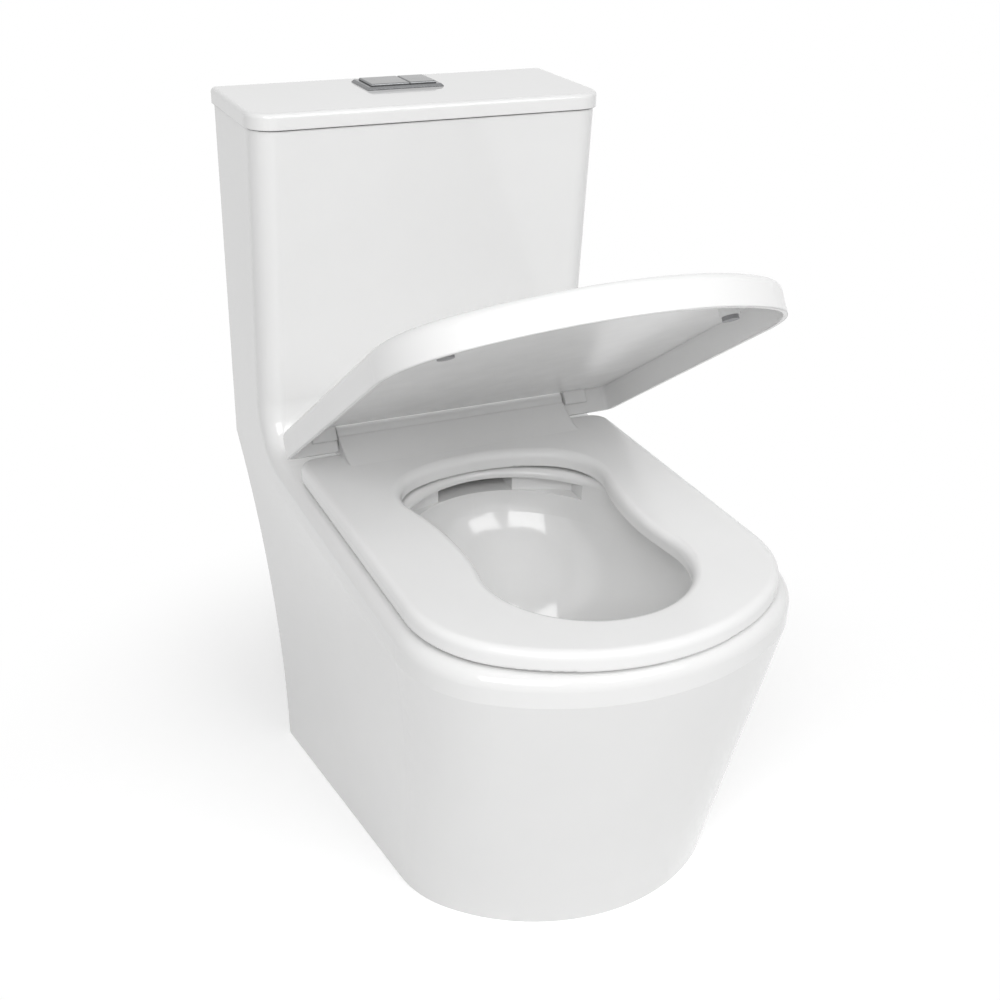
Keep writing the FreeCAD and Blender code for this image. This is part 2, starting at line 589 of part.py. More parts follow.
# The casting is kept as the cistern's walls, the pan, the flush channel's trough under the deck, the bowl's
# cup, the housing round the inlet and the trap
upper_zone = box("upper_zone", ALL_WIDTH, ALL_LENGTH, ("tank_floor", "2 * cistern_top"))
channel_zone = box("channel_zone", ("-duct_width / 2 - duct_wall", "duct_width / 2 + duct_wall"),
                   (fwd("niche_centre - niche_radius - duct_wall"),
                    fwd("valve_setback - valve_hole - duct_wall")), ("skirt_hollow_height", duct_roof))
keep(cut("pan", ceramic, upper_zone, channel_zone), "ceramic_body")
keep(common("cistern", ceramic, upper_zone), "ceramic_cistern")
keep(common("channel", ceramic, channel_zone), "ceramic_duct")
cup_zone = box("cup_zone", ALL_WIDTH, ALL_LENGTH, ("0", "skirt_hollow_height"))
keep(cut("cup", common("cup_blank", bowl_shell, cup_zone), bowl_space, trap_space), "ceramic_bowl")
keep(cut("housing", common("housing_blank", recess_shell, below_deck), recess), "ceramic_housing")
keep(cut("trap_pipe", trap_shell, trap_space, bowl_shell, bowl_space), "trapway")


def rectangle(sketch, width, depth, reach, x="0"):
    left, right = f"{x} - ({width}) / 2", f"{x} + ({width}) / 2"
    back, front = fwd(f"{reach} - ({depth}) / 2"), fwd(f"{reach} + ({depth}) / 2")
    return polygon(sketch, [(left, front), (right, front), (right, back), (left, back)])


# Cistern lid with a locating lip below and a hole for the flush plate's tray
lid = new_body("lid")
LID_WIDTH, LID_DEPTH = "body_width + 2 * lid_overhang", "cistern_depth + lid_overhang"
lid_plan = rectangle(new_sketch(lid, "lid_plan", "XY_Plane", LID_BASE), LID_WIDTH, LID_DEPTH,
                     f"({LID_DEPTH}) / 2")
extrude(lid, "Pad", "lid_slab", lid_plan, "lid_thickness")
blend(lid, "lid_front_corners", "cistern_round + lid_overhang",
      lambda e: upright(e) and e.BoundBox.YMin < foot_y)
blend(lid, "lid_back_corners", "cistern_back_round",
      lambda e: upright(e) and e.BoundBox.YMin > number(REAR) - 0.01)
blend(lid, "lid_edge", "lid_round", lambda e: level(e, number(LID_TOP)))
LIP_WIDTH = "body_width - 2 * cistern_wall - 2 * lid_lip_clearance"
LIP_DEPTH = "cistern_depth - 2 * cistern_wall - 2 * lid_lip_clearance"
lip_plan = rectangle(new_sketch(lid, "lip_plan", "XY_Plane", LID_BASE), LIP_WIDTH, LIP_DEPTH,
                     "cistern_depth / 2")
rectangle(lip_plan, f"{LIP_WIDTH} - 2 * lid_lip_wall", f"{LIP_DEPTH} - 2 * lid_lip_wall",
          "cistern_depth / 2")
extrude(lid, "Pad", "lid_lip", lip_plan, "lid_lip_height", reverse=True)
lip_x = number(LIP_WIDTH) / 2
blend(lid, "lip_corners", "tank_round - lid_lip_clearance",
      lambda e: upright(e) and abs(abs(e.BoundBox.XMin) - lip_x) < 0.01)
tray_hole_plan = rectangle(new_sketch(lid, "tray_hole_plan", "XY_Plane", LID_TOP), HOLE_WIDTH, HOLE_DEPTH,
                           "plate_setback")
extrude(lid, "Pocket", "tray_hole", tray_hole_plan, "lid_thickness")
keep(lid, "cistern_lid")

pads = doc.addObject("Part::Compound", "pads")
PAD_ROWS = ("3 * pad_radius", "cistern_depth - cistern_round - 2 * pad_radius")
pads.Links = [rod(f"pad_{side}_{row}", "pad_radius", "lid_gap", f"{sign}(body_width - cistern_wall) / 2",
                  fwd(reach), "cistern_top")
              for side, sign in SIDES for row, reach in enumerate(PAD_ROWS)]
keep(pads, "lid_pads")

# Flush plate: bezel, tray, two buttons with their rods, and the clamp under the lid
OPEN_WIDTH, OPEN_DEPTH = "plate_width - 2 * plate_frame", "plate_depth - 2 * plate_frame"
FLANGE_WIDTH = f"{OPEN_WIDTH} + 2 * tray_wall + 2 * tray_flange"
FLANGE_DEPTH = f"{OPEN_DEPTH} + 2 * tray_wall + 2 * tray_flange"
bezel = new_body("bezel")
bezel_plan = rectangle(new_sketch(bezel, "bezel_plan", "XY_Plane", LID_TOP), "plate_width", "plate_depth",
                       "plate_setback")
extrude(bezel, "Pad", "bezel_block", bezel_plan, "plate_height")
bevel = bezel.newObject("PartDesign::Chamfer", "bezel_bevel")
bevel.Base = (bevel.BaseFeature, [f"Edge{i}" for i, e in enumerate(bevel.BaseFeature.Shape.Edges, start=1)
                                  if level(e, number(PLATE_TOP))])
bind(bevel, {"Size": "plate_bevel"})
doc.recompute()
window_plan = rectangle(new_sketch(bezel, "window_plan", "XY_Plane", PLATE_TOP), OPEN_WIDTH, OPEN_DEPTH,
                        "plate_setback")
extrude(bezel, "Pocket", "bezel_window", window_plan, "plate_height")
rebate_plan = rectangle(new_sketch(bezel, "rebate_plan", "XY_Plane", LID_TOP),
                        f"{FLANGE_WIDTH} + 2 * flange_clearance", f"{FLANGE_DEPTH} + 2 * flange_clearance",
                        "plate_setback")
extrude(bezel, "Pocket", "bezel_rebate", rebate_plan, "flange_height + flange_clearance", reverse=True)
keep(bezel, "flush_plate_bezel")

rod_y = fwd("plate_setback + rod_forward")
tray = new_body("tray")
tray_plan = rectangle(new_sketch(tray, "tray_plan", "XY_Plane", TRAY_FLOOR), f"{OPEN_WIDTH} + 2 * tray_wall",
                      f"{OPEN_DEPTH} + 2 * tray_wall", "plate_setback")
extrude(tray, "Pad", "tray_block", tray_plan, "tray_drop")
tray_rim_plan = rectangle(new_sketch(tray, "tray_rim_plan", "XY_Plane", LID_TOP), FLANGE_WIDTH, FLANGE_DEPTH,
                          "plate_setback")
extrude(tray, "Pad", "tray_rim", tray_rim_plan, "flange_height")
neck_plan = circle(new_sketch(tray, "neck_plan", "XY_Plane", TRAY_FLOOR), "neck_radius", "button_split",
                   fwd("plate_setback"))
circle(neck_plan, "neck_radius - neck_wall", "button_split", fwd("plate_setback"))
extrude(tray, "Pad", "tray_neck", neck_plan, "neck_height", reverse=True)
well_plan = rectangle(new_sketch(tray, "well_plan", "XY_Plane", f"{LID_TOP} + flange_height"), OPEN_WIDTH,
                      OPEN_DEPTH, "plate_setback")
extrude(tray, "Pocket", "tray_well", well_plan, "tray_drop + flange_height - tray_wall")
rod_holes = new_sketch(tray, "rod_holes", "XY_Plane", f"{TRAY_FLOOR} + tray_wall")
for sign in "+-":
    circle(rod_holes, "rod_radius + rod_clearance", f"button_split {sign} rod_offset", rod_y)
extrude(tray, "Pocket", "tray_rod_holes", rod_holes, "2 * tray_wall")
keep(tray, "button_tray")

BUTTON_TOP = f"{PLATE_TOP} + button_proud"
SKIRT_END = f"{LID_TOP} - button_skirt"
SLEEVE_TOP = "tank_floor + gasket_height + valve_flange_height + leg_length + tower_length + sleeve_height"
for label, sign in (("full_flush", "-"), ("half_flush", "+")):
    button = new_body(label)
    rod_x = f"button_split {sign} rod_offset"
    inner = f"button_split {sign} button_gap / 2"
    outer_x = f"{sign}(({OPEN_WIDTH}) / 2 - button_clearance)"
    width = f"abs({outer_x} - ({inner}))"
    middle = f"({outer_x} + {inner}) / 2"
    depth = f"{OPEN_DEPTH} - 2 * button_clearance"
    height = "plate_height + button_proud + button_skirt"
    button_plan = rectangle(new_sketch(button, label + "_plan", "XY_Plane", SKIRT_END), width, depth,
                            "plate_setback", middle)
    extrude(button, "Pad", label + "_block", button_plan, height)
    blend(button, label + "_edge", "button_round", lambda e: level(e, number(BUTTON_TOP)))
    hollow_plan = rectangle(new_sketch(button, label + "_hollow_plan", "XY_Plane", SKIRT_END),
                            f"{width} - 2 * button_wall", f"{depth} - 2 * button_wall", "plate_setback",
                            middle)
    circle(hollow_plan, "rod_boss", rod_x, rod_y)
    extrude(button, "Pocket", label + "_hollow", hollow_plan, f"{height} - button_wall - button_round",
            reverse=True)
    keep(button, label + "_button")
    keep(rod(label + "_rod", "rod_radius", f"{SKIRT_END} - ({SLEEVE_TOP} - rod_entry)", rod_x, rod_y,
             f"{SLEEVE_TOP} - rod_entry"), label + "_push_rod")
    spring_foot = f"{TRAY_FLOOR} + tray_wall + spring_wire + spring_seat"
    spring_head = f"{BUTTON_TOP} - button_wall - button_round - spring_wire - spring_seat"
    keep(coil(label + "_coil", "rod_boss + spring_gap + spring_wire", "spring_wire", "spring_pitch", rod_x,
              rod_y, spring_foot, spring_head), label + "_spring")

bridge_y = (fwd("plate_setback + bridge_width / 2"), fwd("plate_setback - bridge_width / 2"))
bridge_z = (f"{TRAY_FLOOR} - bridge_plate", LID_BASE)
bridge = cut("bridge", box("bridge_block", ("-bridge_length / 2", "bridge_length / 2"), bridge_y, bridge_z),
             box("bridge_gap", ("bridge_leg - bridge_length / 2", "bridge_length / 2 - bridge_leg"),
                 (fwd("plate_setback + bridge_width"), fwd("plate_setback - bridge_width")),
                 (TRAY_FLOOR, LID_TOP)),
             rod("bridge_hole", "neck_radius + thread_clearance", "2 * bridge_plate", "button_split",
                 fwd("plate_setback"), f"{TRAY_FLOOR} - 2 * bridge_plate + 1"))
keep(bridge, "clamp_bridge")
keep(turned("clamp_ring", tube("neck_radius + thread_clearance", "nut_radius", "-nut_height", "0"),
            "button_split", fwd("plate_setback"), f"{TRAY_FLOOR} - bridge_plate"), "clamp_nut")

# Flush valve on the floor of the tank
valve_at = ("0", fwd("valve_setback"), "tank_floor")
FLANGE_TOP = "gasket_height + valve_flange_height"
SEAT_TOP = f"{FLANGE_TOP} + valve_seat_height"
base = turned("valve_base", [
    ("valve_bore", "-valve_spigot"), ("valve_hole - valve_clearance", "-valve_spigot"),
    ("valve_hole - valve_clearance", "gasket_height"), ("valve_flange", "gasket_height"),
    ("valve_flange", FLANGE_TOP), ("valve_bore + tower_wall", FLANGE_TOP),
    ("valve_bore + tower_wall", SEAT_TOP), ("valve_bore", SEAT_TOP)], *valve_at)
leg_plan = polygon(new_sketch(base, "leg_plan", "XY_Plane", FLANGE_TOP), [
    ("tower_radius - leg_thickness", "-leg_width / 2"), ("tower_radius", "-leg_width / 2"),
    ("tower_radius", "leg_width / 2"), ("tower_radius - leg_thickness", "leg_width / 2")])
leg = extrude(base, "Pad", "leg", leg_plan, "leg_length")
legs = base.newObject("PartDesign::PolarPattern", "legs")
legs.Originals = [leg]
legs.Axis = (leg_plan, ["N_Axis"])
legs.Angle = 360
legs.Occurrences = 4
base.Tip = legs
keep(base, "flush_valve_base")
keep(turned("gasket", tube("valve_hole", "valve_flange", "0", "gasket_height"), *valve_at), "base_gasket")

TOWER_BASE = f"{FLANGE_TOP} + leg_length"
TOWER_TOP = f"{TOWER_BASE} + tower_length"
tower = turned("tower", [
    ("tower_radius - tower_wall", TOWER_BASE), ("tower_radius", TOWER_BASE), ("tower_radius", TOWER_TOP),
    ("overflow_radius + sleeve_clearance", TOWER_TOP),
    ("overflow_radius + sleeve_clearance", f"{TOWER_TOP} - tower_cap"),
    ("tower_radius - tower_wall", f"{TOWER_TOP} - tower_cap")], *valve_at)
sleeve_y = "valve_setback - plate_setback - rod_forward"
sleeves = new_sketch(tower, "sleeve_plan", "XY_Plane", TOWER_TOP)
sleeve_bores = new_sketch(tower, "sleeve_bore_plan", "XY_Plane", f"{TOWER_TOP} + sleeve_height")
for sign in "+-":
    sleeve_x = f"button_split {sign} rod_offset"
    circle(sleeves, "rod_radius + sleeve_clearance + sleeve_wall", sleeve_x, sleeve_y)
    circle(sleeve_bores, "rod_radius + sleeve_clearance", sleeve_x, sleeve_y)
extrude(tower, "Pad", "sleeves", sleeves, "sleeve_height")
extrude(tower, "Pocket", "sleeve_bores", sleeve_bores, "sleeve_height + tower_cap")
keep(tower, "flush_valve_tower")

DISC = f"{SEAT_TOP} + seal_clearance + seal_height"
keep(turned("overflow", [
    ("overflow_radius - overflow_wall", DISC), ("disc_radius", DISC),
    ("disc_radius", f"{DISC} + disc_height"),
    ("overflow_radius", f"{DISC} + disc_height"), ("overflow_radius", f"{DISC} + overflow_length"),
    ("overflow_radius - overflow_wall", f"{DISC} + overflow_length")], *valve_at), "overflow_tube")
keep(turned("valve_washer", tube("valve_bore - tower_wall", "disc_radius", f"{SEAT_TOP} + seal_clearance",
                                 DISC), *valve_at), "valve_seal")

# Fill valve at the left of the tank
fill_at = ("-fill_offset", fwd("fill_setback"), "tank_floor")
SHANK_TOP = "washer_height + shank_flange_height"
RISER_TOP = f"{SHANK_TOP} + riser_length"
SHANK_END = "washer_height - shank_length"
keep(turned("shank", [
    ("shank_bore", SHANK_END), ("shank_radius", SHANK_END), ("shank_radius", "washer_height"),
    ("shank_flange", "washer_height"), ("shank_flange", SHANK_TOP), ("riser_radius", SHANK_TOP),
    ("riser_radius", RISER_TOP), ("shank_bore", RISER_TOP)], *fill_at), "fill_valve_shank")
keep(turned("inlet_packing", tube("shank_radius + thread_clearance", "shank_flange", "0", "washer_height"),
            *fill_at), "inlet_washer")
hexagon = doc.addObject("Part::Prism", "hexagon")
bind(hexagon, {"Circumradius": "inlet_nut_size / sqrt(3)", "Height": "inlet_nut_height"})
place(hexagon, "-fill_offset", fwd("fill_setback"), "recess_roof - inlet_nut_height")
nut_bore = rod("nut_bore", "shank_radius + thread_clearance", "2 * inlet_nut_height", "-fill_offset",
               fwd("fill_setback"), "recess_roof - 1.5 * inlet_nut_height")
keep(cut("hex_nut", hexagon, nut_bore), "inlet_nut")
FLOAT_BASE = f"{SHANK_TOP} + float_gap"
FLOAT_TOP = f"{FLOAT_BASE} + float_length"
FLOAT_BORE = "riser_radius + float_clearance"
keep(turned("float_cup", [
    (FLOAT_BORE, FLOAT_BASE), (f"{FLOAT_BORE} + float_wall", FLOAT_BASE),
    (f"{FLOAT_BORE} + float_wall", f"{FLOAT_TOP} - float_wall"),
    ("float_radius - float_wall", f"{FLOAT_TOP} - float_wall"),
    ("float_radius - float_wall", FLOAT_BASE), ("float_radius", FLOAT_BASE), ("float_radius", FLOAT_TOP),
    (FLOAT_BORE, FLOAT_TOP)], *fill_at), "fill_float")
HEAD_BASE = f"tank_floor + {RISER_TOP}"
head = fuse("head",
            rod("head_block", "head_radius", "head_height", "-fill_offset", fwd("fill_setback"), HEAD_BASE),
            rod("head_spout", "spout_radius", "head_radius + spout_reach", "-fill_offset",
                fwd("fill_setback"), f"{HEAD_BASE} + head_height - spout_drop", "X"))
keep(head, "fill_valve_head")

# Seat hinge: posts on the deck, held by bolts in expanding plugs, with a pin through each post
hinge_y = fwd("hinge_setback")
for side, sign in SIDES:
    x = f"{sign}post_offset"
    post = fuse(f"post_{side}_block",
                rod(f"post_{side}_eye", "post_radius", "post_width", f"{x} - post_width / 2", hinge_y,
                    HINGE_Z, "X"),
                box(f"post_{side}_stem", (f"{x} - post_width / 2", f"{x} + post_width / 2"),
                    (fwd("hinge_setback + post_forward + post_stem / 2"),
                     fwd("hinge_setback + post_forward - post_stem / 2")),
                    ("rim_height + post_base_height", HINGE_Z)),
                rod(f"post_{side}_base", "post_base", "post_base_height", x, post_y, "rim_height"))
    pin_low = f"{sign}(bar_length / 2 + ear_inset + ear_width - 1)" if sign else "pin_inset + 1"
    pin_span = "bar_length / 2 + ear_inset + ear_width - pin_inset - 2"
    keep(cut(f"post_{side}", post,
             rod(f"post_{side}_bore", "pin_radius + pin_clearance", "2 * post_width", f"{x} - post_width",
                 hinge_y, HINGE_Z, "X"),
             rod(f"post_{side}_socket", "bolt_radius + pin_clearance", "2 * bolt_entry", x, post_y,
                 "rim_height - bolt_entry")), f"hinge_post_{side}")
    keep(rod(f"pin_{side}", "pin_radius", pin_span, pin_low, hinge_y, HINGE_Z, "X"), f"hinge_pin_{side}")
    keep(rod(f"bolt_{side}", "bolt_radius", "bolt_length", x, post_y,
             "rim_height + bolt_entry - bolt_length"), f"hinge_bolt_{side}")
    plug = tube("bolt_radius + plug_clearance", "plug_radius - plug_clearance", "-plug_length", "0")
    keep(turned(f"plug_{side}", plug, x, post_y, "rim_height"), f"hinge_plug_{side}")

# Seat ring: a D plate with a pear-shaped opening, a ramp up to the hinge bar, and notches for the posts
SEAT_BASE = "rim_height + seat_gap"
SEAT_FACE = f"{SEAT_BASE} + seat_thickness"
ring = new_body("ring")
seat_plan = dee(new_sketch(ring, "seat_plan", "XY_Plane", SEAT_BASE), "seat_setback", "seat_width",
                "seat_reach", "seat_width", "seat_nose", "seat_corner", "seat_back_round")
extrude(ring, "Pad", "seat_plate", seat_plan, "seat_thickness")
opening_plan = pear(new_sketch(ring, "opening_plan", "XY_Plane", SEAT_FACE))
extrude(ring, "Pocket", "seat_opening", opening_plan, "seat_thickness")
seat_low, seat_high = number(SEAT_BASE), number(SEAT_FACE)
waist_x = number("opening_width / 2") + 5
rear_edge, front_edge = number(fwd("opening_rear")) + 1, number(fwd("seat_reach")) + 1


def in_opening(edge):
    bounds = edge.BoundBox
    narrow = max(abs(bounds.XMin), abs(bounds.XMax)) < waist_x
    return narrow and bounds.YMax < rear_edge and bounds.YMin > front_edge


blend(ring, "seat_edge", "seat_round", lambda e: level(e, seat_high) and not in_opening(e))
blend(ring, "opening_edge", "opening_round", lambda e: level(e, seat_high) and in_opening(e))
blend(ring, "seat_under_edge", "seat_under_round", lambda e: level(e, seat_low))
ramp_side = polygon(new_sketch(ring, "ramp_side", "YZ_Plane", "-bar_length / 2"), [
    (hinge_y, f"{SEAT_FACE} - seat_round"), (fwd("ramp_reach"), f"{SEAT_FACE} - seat_round / 2"),
    (fwd("ramp_reach"), f"{SEAT_FACE} - ramp_dip"),
    (fwd("hinge_setback + bar_radius + cover_gap"), f"{SEAT_FACE} + ramp_rise"),
    (hinge_y, f"{SEAT_FACE} + ramp_rise")], bends={2: fwd("ramp_reach")})
extrude(ring, "Pad", "ramp", ramp_side, "bar_length")
bar_side = circle(new_sketch(ring, "bar_side", "YZ_Plane", "-bar_length / 2"), "bar_radius", hinge_y, HINGE_Z)
extrude(ring, "Pad", "hinge_bar", bar_side, "bar_length")
notches = []
for side, sign in SIDES:
    low = f"{sign}post_offset - post_width / 2 - post_gap"
    span = (low, f"{sign}post_offset + post_width / 2 + post_gap")
    behind = fwd("hinge_setback - 2 * bar_radius")
    before = fwd("hinge_setback + post_forward + post_stem / 2 + post_gap")
    notches += [
        rod(f"notch_{side}_eye", "post_radius + post_gap", "post_width + 2 * post_gap", low, hinge_y, HINGE_Z,
            "X"),
        box(f"notch_{side}_stem", span, (before, behind), ("rim_height", HINGE_Z)),
        box(f"notch_{side}_heel", span, (hinge_y, behind), (HINGE_Z, f"{HINGE_Z} + bar_radius / 2")),
        rod(f"bar_{side}_bore", "pin_radius + pin_clearance", "bar_length / 2 - pin_inset + 1",
            "pin_inset" if not sign else "-bar_length / 2 - 1", hinge_y, HINGE_Z, "X")]
keep(cut("seat", ring, *notches), "seat_ring")

bumpers = doc.addObject("Part::Compound", "bumpers")
BUMPERS = (("middle", "bumper_side", "bumper_side_reach"), ("front", "bumper_front", "bumper_front_reach"))
bumpers.Links = [rod(f"bumper_{name}_{side}", "bumper_radius", "seat_gap", f"{sign}{x}", fwd(reach),
                     "rim_height")
                 for side, sign in SIDES for name, x, reach in BUMPERS]
keep(bumpers, "seat_bumpers")

# Cover: an inverted tray that wraps over the seat, cut away round the hinge bar, with two ears on the pins
COVER_BASE = "rim_height + cover_lift"
COVER_TOP = f"{COVER_BASE} + cover_height"
COVER_CEILING = f"{COVER_TOP} - cover_wall"
COVER_PLAN = ("cover_setback", "cover_width", "cover_reach", "cover_width", "cover_nose", "cover_corner")
hood = new_body("hood")
hood_plan = dee(new_sketch(hood, "hood_plan", "XY_Plane", COVER_BASE), *COVER_PLAN, "cover_round")
extrude(hood, "Pad", "hood_block", hood_plan, "cover_height")
blend(hood, "hood_edge", "cover_round", lambda e: level(e, number(COVER_TOP)))
hollow_plan = dee(new_sketch(hood, "hood_hollow_plan", "XY_Plane", COVER_BASE), *COVER_PLAN,
                  "cover_round - cover_wall", wall="cover_wall")
extrude(hood, "Pocket", "hood_hollow", hollow_plan, "cover_height - cover_wall", reverse=True)
gap_x = "bar_length / 2 + cover_gap"
bar_gap = box("bar_gap", (f"-({gap_x})", gap_x), (fwd("hinge_setback + bar_radius + cover_gap"), REAR),
              ("rim_height", "rim_height + 2 * cover_height"))
trimmed = cut("trimmed", hood, bar_gap)
ears, ear_bores = [], []
for side, sign in SIDES:
    near = "bar_length / 2 + ear_inset"
    low = f"-({near} + ear_width)" if sign else near
    high = f"-({near})" if sign else f"{near} + ear_width"
    ears += [rod(f"ear_{side}", "ear_radius", "ear_width", low, hinge_y, HINGE_Z, "X"),
             box(f"ear_{side}_web", (low, high), (fwd("cover_setback + 2 * cover_wall"), hinge_y),
                 (f"{HINGE_Z} - ear_web", f"{COVER_CEILING} + cover_wall / 2"))]
    ear_bores.append(rod(f"ear_{side}_bore", "pin_radius + pin_clearance", "2 * ear_width",
                         f"{low} - ear_width / 2", hinge_y, HINGE_Z, "X"))
STOP_BASE = f"{SEAT_FACE} + stop_gap"
BOSS_BASE = f"{STOP_BASE} + stop_height"
BOSS_HEIGHT = f"{COVER_CEILING} + cover_wall / 2 - ({BOSS_BASE})"
bosses = [rod(f"boss_{side}", "boss_radius", BOSS_HEIGHT, f"{sign}stop_side", fwd("stop_reach"), BOSS_BASE)
          for side, sign in SIDES]
cover = keep(cut("cover", fuse("cover_blank", trimmed, *ears, *bosses), *ear_bores), "seat_cover")
stops = doc.addObject("Part::Compound", "stops")
stops.Links = [rod(f"stop_{side}", "stop_radius", "stop_height", f"{sign}stop_side", fwd("stop_reach"),
                   STOP_BASE) for side, sign in SIDES]
keep(stops, "cover_bumpers")

# Seal round the outlet
seal = tube("trap_radius + trap_wall + outlet_seal_clearance", "seal_outer", "0", "outlet_seal_height")
keep(turned("outlet_ring", seal, "0", fwd("trap_setback"), "0"), "outlet_seal")

doc.recompute()
axis = FreeCAD.Vector(0, number(hinge_y), number(HINGE_Z))
tilt = FreeCAD.Rotation(FreeCAD.Vector(-1, 0, 0), number("cover_open_angle"))
opened = FreeCAD.Placement(FreeCAD.Vector(), tilt, axis)
for item in (cover, stops):
    item.Placement = opened

for item in doc.Objects:
    if {"Invalid", "Error"} & set(item.State):
        raise RuntimeError(f"{item.Name} failed: {item.State}")
for item in parts:
    if item.Shape.isNull() or not item.Shape.isValid() or not item.Shape.Solids:
        raise RuntimeError(f"{item.Label} has no valid solid")
os.makedirs("parts", exist_ok=True)
for item in parts:
    item.Shape.exportStep(f"parts/{item.Label}.step")
print(len(parts), "parts written")
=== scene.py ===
import json
import math
import bpy
from mathutils import Matrix, Vector


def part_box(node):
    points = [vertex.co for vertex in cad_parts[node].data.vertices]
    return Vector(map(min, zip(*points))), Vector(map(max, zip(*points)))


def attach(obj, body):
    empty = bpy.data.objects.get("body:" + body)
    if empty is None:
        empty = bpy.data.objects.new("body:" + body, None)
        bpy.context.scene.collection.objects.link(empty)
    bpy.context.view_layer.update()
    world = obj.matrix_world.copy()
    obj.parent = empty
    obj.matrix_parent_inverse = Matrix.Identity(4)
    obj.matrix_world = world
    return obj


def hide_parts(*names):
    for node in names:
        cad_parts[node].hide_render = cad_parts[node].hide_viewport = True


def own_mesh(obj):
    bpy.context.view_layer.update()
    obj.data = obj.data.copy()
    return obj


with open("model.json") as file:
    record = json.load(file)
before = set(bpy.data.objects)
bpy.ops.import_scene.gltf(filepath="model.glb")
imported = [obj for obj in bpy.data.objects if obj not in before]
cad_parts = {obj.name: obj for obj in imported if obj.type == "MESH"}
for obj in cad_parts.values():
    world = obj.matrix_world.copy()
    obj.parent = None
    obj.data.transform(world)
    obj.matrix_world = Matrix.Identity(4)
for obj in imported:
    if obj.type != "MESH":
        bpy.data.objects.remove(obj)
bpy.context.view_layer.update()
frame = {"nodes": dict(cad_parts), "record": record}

nodes = frame["nodes"]
scene = bpy.context.scene
print("frame loaded:", len(nodes), "nodes")


# Materials

def addNode(tree, kind, sockets=None, **settings):
    node = tree.nodes.new(kind)
    for key, value in settings.items():
        setattr(node, key, value)
    for socket, value in (sockets or {}).items():
        if isinstance(value, bpy.types.NodeSocket):
            tree.links.new(value, node.inputs[socket])
        else:
            node.inputs[socket].default_value = value
    return node


# Noise seldom leaves this range, so it is stretched from here to the range a look asks for
noiseRange = (0.3, 0.7)
noiseDetail = {"tone": 4, "polish": 5, "relief": 2}
bevelSamples = 6


def noise(tree, place, scale, detail, stretch=(1, 1, 1)):
    if stretch != (1, 1, 1):
        place = addNode(tree, "ShaderNodeMapping", {"Vector": place, "Scale": stretch}).outputs["Vector"]
    sockets = {"Vector": place, "Scale": scale, "Detail": detail}
    return addNode(tree, "ShaderNodeTexNoise", sockets).outputs["Fac"]


def spread(tree, value, low, high):
    least, most = noiseRange
    limits = {"Value": value, "From Min": least, "From Max": most, "To Min": low, "To Max": high}
    return addNode(tree, "ShaderNodeMapRange", limits).outputs["Result"]


def blendColours(tree, factor, first, second):
    mix = addNode(tree, "ShaderNodeMix", {0: factor}, data_type="RGBA")
    mix.inputs[6].default_value = (*first, 1)
    mix.inputs[7].default_value = (*second, 1)
    return mix.outputs[2]


# A finish with a drifting tone, an uneven polish and a fine relief, each at its own scale; an edge above
# zero rounds the shading of sharp edges by that many metres.
def finish(name, look):
    material = bpy.data.materials.new(name)
    material.use_nodes = True
    tree = material.node_tree
    shader = tree.nodes["Principled BSDF"]
    for socket, value in look["shader"].items():
        shader.inputs[socket].default_value = value
    place = addNode(tree, "ShaderNodeTexCoord").outputs["Object"]
    stretch = look.get("stretch", (1, 1, 1))
    drift = spread(tree, noise(tree, place, look["toneScale"], noiseDetail["tone"]), 0, 1)
    tree.links.new(blendColours(tree, drift, *look["tone"]), shader.inputs["Base Color"])
    wear = noise(tree, place, look["polishScale"], noiseDetail["polish"], stretch)
    tree.links.new(spread(tree, wear, *look["roughness"]), shader.inputs["Roughness"])
    relief = noise(tree, place, look["reliefScale"], noiseDetail["relief"], stretch)
    bump = addNode(tree, "ShaderNodeBump", {
        "Height": relief, "Strength": look["reliefStrength"], "Distance": look["relief"]})
    if look.get("edge"):
        edge = addNode(tree, "ShaderNodeBevel", {"Radius": look["edge"]}, samples=bevelSamples)
        tree.links.new(edge.outputs["Normal"], bump.inputs["Normal"])
    tree.links.new(bump.outputs["Normal"], shader.inputs["Normal"])
    return material


glazeLook = {
    "tone": ((0.835, 0.835, 0.832), (0.86, 0.86, 0.857)), "toneScale": 5,
    "roughness": (0.07, 0.13), "polishScale": 14,
    "relief": 0.0006, "reliefScale": 22, "reliefStrength": 0.08, "edge": 0.0018,
    "shader": {"IOR": 1.52, "Coat Weight": 0.3, "Coat Roughness": 0.03},
}
# The casting is several nodes face to face, so its edges are not rounded: that would draw their seams
castingLook = {**glazeLook, "edge": 0}
seatLook = {
    "tone": ((0.88, 0.88, 0.878), (0.905, 0.905, 0.903)), "toneScale": 6,
    "roughness": (0.18, 0.25), "polishScale": 22,
    "relief": 0.0002, "reliefScale": 420, "reliefStrength": 0.05, "edge": 0.003,
    "shader": {"IOR": 1.49},
}
chromeLook = {
    "tone": ((0.17, 0.173, 0.178), (0.21, 0.213, 0.218)), "toneScale": 30,
    "roughness": (0.12, 0.2), "polishScale": 240,
    "relief": 0.00006, "reliefScale": 500, "reliefStrength": 0.08, "stretch": (0.1, 1, 1), "edge": 0.0004,
    "shader": {"Metallic": 1.0},
}
whiteFittingLook = {
    "tone": ((0.72, 0.73, 0.72), (0.77, 0.78, 0.77)), "toneScale": 18,
    "roughness": (0.38, 0.5), "polishScale": 60,
    "relief": 0.0002, "reliefScale": 900, "reliefStrength": 0.15,
    "shader": {"IOR": 1.49},
}
greyFittingLook = {
    "tone": ((0.27, 0.3, 0.32), (0.32, 0.35, 0.37)), "toneScale": 20,
    "roughness": (0.4, 0.55), "polishScale": 60,
    "relief": 0.0002, "reliefScale": 900, "reliefStrength": 0.18,
    "shader": {"IOR": 1.49},
}
